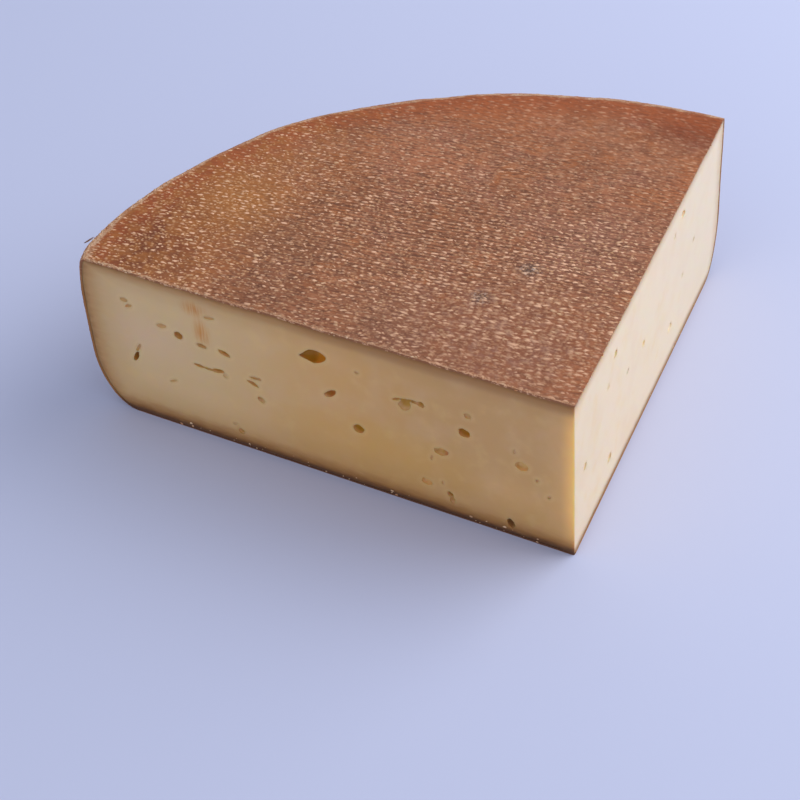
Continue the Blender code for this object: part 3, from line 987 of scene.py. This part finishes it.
def rind_material():
    material, shader, t = new_material("rind", {"Roughness": 0.75, "Specular IOR Level": 0.4})
    p = rind_pattern(t)
    rest, rim, left_side = p.rest, p.rim, p.left_side

    ground = t.mix(t.ramp(t.noise(rest, 6, 8.4), 0.35, 0.65), (151, 88, 52), (173, 106, 67))
    # darker along the cloth's threads and in the gaps between its rows: partly the smear in the imprint's lows,
    # partly painted shade in its grooves
    dark_threads = t.times(t.ramp(p.threads, -0.2, 0.12, 0.8, 0), t.ramp(left_side, 0, 1, 1, 0.4), p.sharp)
    gaps = t.times(t.ramp(p.on_row, -1, 0.3, 0.7, 0), t.ramp(t.noise(rest, 2.6, 13), 0.35, 0.6, 0.3, 1))
    gaps = t.times(gaps, t.near(rest, *CLEAR_ROWS, 0.7))
    most_haze = t.plus(0.42, t.times(p.near_corner, 0.5))
    haze = t.ramp(t.noise(rest, 2.4, 5, 4, 0.65), 0.48, 0.7, 0, most_haze)
    not_far = t.minus(1, t.near(rest, *FAR_TIP))
    haze = t.times(haze, t.ramp(left_side, 0, 1, 1, 0.3), not_far, t.ramp(rim, 4, 26))

    fades = [t.times(t.near(rest, *area), strength) for *area, strength in FADES]
    fade = t.plus(t.ramp(p.y, -30, 60, 1.1, 0.4), *fades)
    small = t.mix(left_side, (202, 147, 103), (218, 162, 112))
    cream = t.mix(t.ramp(t.noise(rest, 5, 7.1), 0.5, 0.75, 0, 0.8), (238, 184, 145), (215, 177, 130))
    spots = t.noise(rest, 1.3, 2)
    blotches = [t.near(rest, *area) for area in BLEMISHES]

    uneven_rim = t.plus(rim, t.times(p.lumps, 3), t.times(p.grain, 2))
    reach = t.plus(0.7, t.times(p.threads, 2), t.times(p.left_tip, t.plus(p.torn, 0.3), 3))
    rim_line = t.times(t.ramp(uneven_rim, -1.8, -0.6), t.ramp(t.minus(uneven_rim, reach), -0.5, 0.5, 1, 0))
    rim_line = t.times(rim_line, t.ramp(t.noise(rest, 8, 12), 0.36, 0.58, 0.3, 0.8))
    rim_colour = t.mix(t.ramp(p.grain, -0.15, 0.15), (176, 124, 85), (224, 190, 156))
    from_front = t.minus(p.y, FRONT_EDGE)
    from_cut = t.plus(from_front, t.times(p.grain, 2), t.times(p.torn, -1.4))
    worn_top = t.times(t.ramp(from_cut, -0.5, 1.4, 0.7, 0), t.ramp(p.z, 60, 65))
    worn_colour = t.mix(t.ramp(p.grain, -0.12, 0.1), (168, 107, 68), (226, 180, 140))
    worn = t.mix(t.ramp(p.torn, 0.05, 0.35), (150, 96, 61), worn_colour)
    foot = t.mix(t.ramp(from_front, 0.5, 2), (94, 58, 34), (164, 114, 66))
    low_cut = t.mix(t.ramp(t.plus(p.z, t.times(p.lumps, 3)), 0.5, 9), foot, (164, 110, 58))
    cut = t.mix(t.ramp(p.z, 60, 68), low_cut, worn)

    surface = t.layers(
        ground,
        (t.ramp(p.patches, 0.5, 0.72, 0, 0.5), (154, 94, 72)),
        (t.ramp(t.noise(rest, 12, 9.9), 0.5, 0.7, 0, 0.7), (176, 100, 50)),
        *t.stains(rest, RIND_PATCHES),
        (t.times(t.ramp(rim, 3, 20, 0.85, 0), t.ramp(rim, -6, 0)), (164, 80, 32)),
        (t.ramp(rim, -9, -1, 0.6, 0), (142, 92, 60)),
        (t.times(t.ramp(t.noise(rest, 5, 11.3, 4), 0.42, 0.62), left_side, 0.7), (168, 100, 42)),
        # the threads and gaps: smear and painted shade in the imprint's grooves
        (dark_threads, (100, 56, 33)),
        (gaps, (98, 56, 34)),
        (t.times(p.near_corner, 0.6), (130, 74, 48)),
        (haze, (190, 138, 102)),
        (t.times(t.ramp(t.noise(rest, 3.6, 6.6), 0.5, 0.66), p.near_corner, 0.3), (156, 114, 98)),
        *[(t.times(blotch, t.ramp(spots, 0.4, 0.6, 1, 0.4)), (88, 66, 54)) for blotch in blotches],
        (t.times(p.small_dots, fade, 0.8), small),
        (t.times(p.dots, fade), cream),
        *[(t.times(blotch, t.ramp(spots, 0.54, 0.64), 0.7), (208, 184, 164)) for blotch in blotches],
        (rim_line, rim_colour),
        (worn_top, worn_colour),
        (t.ramp(t.attribute("depth"), 0, 0.25), cut),
    )
    finish_shader(t, shader, surface, p.height, 0.5)
    return material


def paste_material():
    material, shader, t = new_material("paste", {
        "Roughness": 0.46, "Specular IOR Level": 0.35, "Subsurface Weight": 0.75,
        "Subsurface Radius": (1, 0.55, 0.22), "Subsurface Scale": 5 * MM,
    })
    rest = t.attribute("rest", vector=True)
    face = t.attribute("face", vector=True)
    behind = t.attribute("behind")
    near_eye = t.attribute("near_eye")
    from_corner, height, on_side = t.parts(face)
    on_front = t.minus(1, on_side)

    left = t.ramp(from_corner, 80, 165)
    low = t.times(t.ramp(height, 10, 42, 1, 0), t.ramp(left, 0, 1, 0.6, 0.1))
    fibres = t.ramp(t.noise(rest, (0.7, 0.7, 8), 4), 0.35, 0.65, 0.35, 1)

    wander = t.times(t.minus(t.noise(rest, (6, 6, 2), 3, 4), 0.5), 1.8)
    edge = t.plus(t.attribute("from_rind"), wander)
    browning = t.ramp(on_side, 0, 1, 1, 0.6)
    shade = t.times(t.ramp(height, 65, 71.5, 0, 0.65), t.ramp(from_corner, 70, 150, 1.2, 0.2), on_front)
    low_edge = t.plus(t.times(height, t.ramp(on_side, 0, 1, 1, 1.9)), t.times(wander, 1.4))
    foot = t.mix(on_side, (86, 52, 28), (176, 124, 68))
    # painted light in the eyes' hollows: on the front yellower and darker deeper in, a painted glow through the
    # paste and painted shade; on the side paler than the paste, to offset the hollows' shadow
    front_deep = t.mix(t.ramp(behind, 0.5, 1.8), (218, 178, 122), (202, 150, 46))
    deep_colour = t.mix(on_side, front_deep, (242, 220, 180))
    in_eye = t.ramp(behind, 0, 0.5)

    surface = t.layers(
        t.mix(t.ramp(from_corner, 40, 100), (207, 163, 107), (219, 171, 107)),
        (left, (220, 189, 139)),
        (low, (212, 166, 96)),
        # paler and less orange on the side: partly the paste's own tone, partly a painted sheen of the light
        # falling on the side
        (on_side, (232, 208, 174)),
        (t.ramp(t.noise(rest, 15, 2), 0.4, 0.7, 0, 0.25), (222, 186, 148)),
        (t.ramp(t.noise(rest, 9, 5, 4), 0.5, 0.75, 0, 0.35), (230, 194, 130)),
        (t.times(t.ramp(from_corner, 50, 170, 0, 0.5), on_side), (220, 203, 176)),
        # patches of stain, and the painted glow of light through the corner
        *t.stains(face, PASTE_STAINS, on_front),
        *[(t.times(t.near(face, *area), fibres, on_front), (208, 140, 66)) for area in SMEARS],
        (t.ramp(near_eye, 0, 0.8, 0, 0.12), (240, 214, 154)),
        (t.ramp(near_eye, 0.55, 1, 0, 0.25), (200, 158, 98)),
        (t.times(t.ramp(edge, 2, 14, 0.4, 0), on_front), (184, 140, 88)),
        (shade, (136, 98, 68)),
        (t.times(t.ramp(edge, 0.6, 6.5, 0.8, 0), browning), (178, 126, 66)),
        (t.times(t.ramp(edge, 0.4, 3, 0.75, 0), browning), (138, 90, 46)),
        (t.ramp(low_edge, 1.5, 8.5, 0.8, 0), (144, 96, 44)),
        (t.ramp(low_edge, 0.8, 4.2, 0.95, 0), foot),
        # the eyes' hollows, with their painted shade and light
        (t.ramp(behind, 0, 0.6, 0, 0.9), deep_colour),
        # tints in the front's eyes, with painted shade at the large eye's top
        *[(t.times(t.near(face, *area, 0.7), in_eye, on_front), tint) for *area, tint in EYE_TINTS],
    )
    fine = t.plus(t.times(t.noise(rest, 1.2, 4, 4), 0.05), t.times(t.noise(rest, (9, 9, 1.4), 8), 0.05))
    finish_shader(t, shader, surface, fine, 0.4)
    return material


def crumb_material():
    material, shader, t = new_material("crumbs", {"Roughness": 0.8})
    tone = t.attribute("tone")
    brown = t.mix(t.ramp(tone, 0, 0.3), (104, 70, 50), (184, 128, 88))
    t.feed(shader.inputs["Base Color"], t.mix(t.ramp(tone, 0.3, 1), brown, (224, 190, 152)))
    return material


def crumb_piece(name, spots, material):
    """Many little lumps in one piece. Each spot has a place, full sizes, a turn about Z and a tone."""
    bm = bmesh.new()
    tones = []
    for place, size, turn, tone in spots:
        lump = bmesh.ops.create_icosphere(bm, subdivisions=2, radius=0.5)["verts"]
        spin = Matrix.Rotation(turn, 3, "Z")
        for vert in lump:
            stray = 1 + CRUMB_UNEVEN * noise.noise(vert.co * CRUMB_LUMPS + place / MM)
            vert.co = place + spin @ Vector([part * length * stray for part, length in zip(vert.co, size)])
        tones += [tone] * len(lump)
    mesh = mesh_from(name, bm)
    store(mesh, "tone", tones)
    mesh.shade_smooth()
    return add_piece(name, mesh, material, "rind")


def top_edge_spots(rng):
    """Frayed bits of rind along the front's top edge, most of them near the left tip, and a stray sliver."""
    spots = []
    length = FRONT.runs.dot(round_row(1, 1)[0][0] - CORNER)
    for number in range(TOP_CRUMBS + TIP_CRUMBS):
        reach = length if number < TOP_CRUMBS else TIP_REACH
        distance = length - reach * rng.random()
        inwards = rng.uniform(-0.25, 0.9) * MM
        place = CORNER + FRONT.runs * distance - FRONT.looks * inwards
        place.z = top_height(place) - rng.uniform(-0.05, 0.55) * MM * (inwards < 0)
        size = Vector((rng.uniform(0.5, 1.9), rng.uniform(0.3, 0.7), rng.uniform(0.25, 0.5))) * MM
        clump = noise.noise(Vector((distance / CLUMP_LENGTH, 0, 0))) + distance / length
        turn, tone = rng.uniform(-0.5, 0.5), rng.uniform(0.3, 0.85)
        if clump > rng.uniform(0.1, 1):
            spots.append((place + TO_FRAME, size, turn, tone))
    start = cut_direction(section_at(1), FRONT)
    for _ in range(RIM_CRUMBS):
        share = rng.random() ** 2
        place, _ = wheel_point(start - RIM_REACH * share, section_at(rng.uniform(0.985, 1)))
        size = Vector((rng.uniform(0.5, 2), rng.uniform(0.25, 0.6), rng.uniform(0.25, 0.5))) * MM
        spots.append((place + TO_FRAME, size, rng.uniform(0.8, 2.2), rng.uniform(0.3, 0.9)))
    spots.append((Vector(SLIVER) * MM, Vector(SLIVER_SIZE) * MM, SLIVER_TURN, SLIVER_TONE))
    return spots


def base_edge_spots(rng):
    """Pale dots of mould and crumbs along the foot of the cuts."""
    spots = []
    for face, count, reach in ((FRONT, FRONT_DOTS, 180), (SIDE, SIDE_DOTS, 160)):
        for _ in range(count):
            distance = rng.uniform(2, reach) * MM
            height = rng.triangular(0.4, 3.6, 1) * MM
            wide = 0.3 + 1.1 * rng.random() ** 2
            size = Vector((wide, 0.35, wide * rng.uniform(0.5, 0.9))) * MM
            place = CORNER + face.runs * distance + face.looks * 0.02 * MM
            place.z = height
            turn = math.atan2(face.runs.y, face.runs.x)
            spots.append((place + TO_FRAME, size, turn, rng.uniform(0.4, 1)))
    return spots


def make_rind(name, shell, material):
    mesh = shell.mesh(name)
    store(mesh, "rest", [tuple(point / MM) for point in shell.points])
    for mark, values in zip(MARKS, zip(*shell.marks)):
        store(mesh, mark, values)
    raise_rind(add_piece(name, mesh, material, "rind"))


def make_paste(material):
    mesh = cut_eyes(paste_body().mesh("paste"))
    mesh.name = "paste"
    dress_paste(mesh)
    mesh.shade_smooth()
    mesh.set_sharp_from_angle(angle=SHARP_ANGLE)
    add_piece("paste", mesh, material, "paste")


def make_floor():
    bm = bmesh.new()
    bmesh.ops.create_grid(bm, x_segments=1, y_segments=1, size=FLOOR_SIZE / 2)
    floor = new_object("floor", mesh_from("floor", bm))
    floor.data.materials.append(new_material("floor", {"Roughness": 0.9, "Base Color": FLOOR_COLOUR})[0])
    floor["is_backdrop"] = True


def light_scene():
    """Soft square lights that look at the cheese, and an even sky."""
    for name, place, size, power, tint in LIGHTS:
        data = bpy.data.lights.new(name, "AREA")
        data.size = size
        data.energy = power
        data.color = tint
        light = new_object(name, data)
        light.location = place
        aim = Vector((0, 0, WHEEL_HEIGHT / 2)) - light.location
        light.rotation_euler = aim.to_track_quat("-Z", "Y").to_euler()
    world = bpy.data.worlds.new("studio")
    world.use_nodes = True
    background = world.node_tree.nodes["Background"]
    background.inputs["Color"].default_value = AMBIENT_COLOUR
    background.inputs["Strength"].default_value = AMBIENT_STRENGTH
    bpy.context.scene.world = world
    bpy.context.scene.view_settings.view_transform = "Standard"


def add_camera():
    data = bpy.data.cameras.new("camera")
    data.lens = CAMERA_LENS
    data.sensor_width = CAMERA_SENSOR
    camera = new_object("camera", data)
    place = Matrix.Translation(CAMERA_PLACE)
    for angle, axis in ((-CAMERA_YAW, "Z"), (math.pi / 2 - CAMERA_DOWN, "X"), (CAMERA_ROLL, "Z")):
        place = place @ Matrix.Rotation(angle, 4, axis)
    camera.matrix_world = place
    bpy.context.scene.camera = camera


def write_sizes():
    """Put the solid's box and the dressed piece's box side by side, without keeping them."""
    boxes = {"cad": [list(corner) for corner in cad_box], "visual": [list(corner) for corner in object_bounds()]}


def build():
    add_camera()
    light_scene()
    make_floor()
    rind = rind_material()
    make_rind("rind_top", flat_rind(RIND_SPACING, 1, top_height, UNDER_TOP, UP, 0, 1), rind)
    make_rind("rind_side", side_rind(), rind)
    make_rind("rind_base", flat_rind(BASE_SPACING, 0, base_height, OVER_BASE, -UP, BASE_CLOTH, 0), rind)
    make_paste(paste_material())
    rng = random.Random(CRUMB_SEED)
    crumbs = crumb_material()
    crumb_piece("top_edge_crumbs", top_edge_spots(rng), crumbs)
    crumb_piece("base_edge_crumbs", base_edge_spots(rng), crumbs)
    write_sizes()


build()
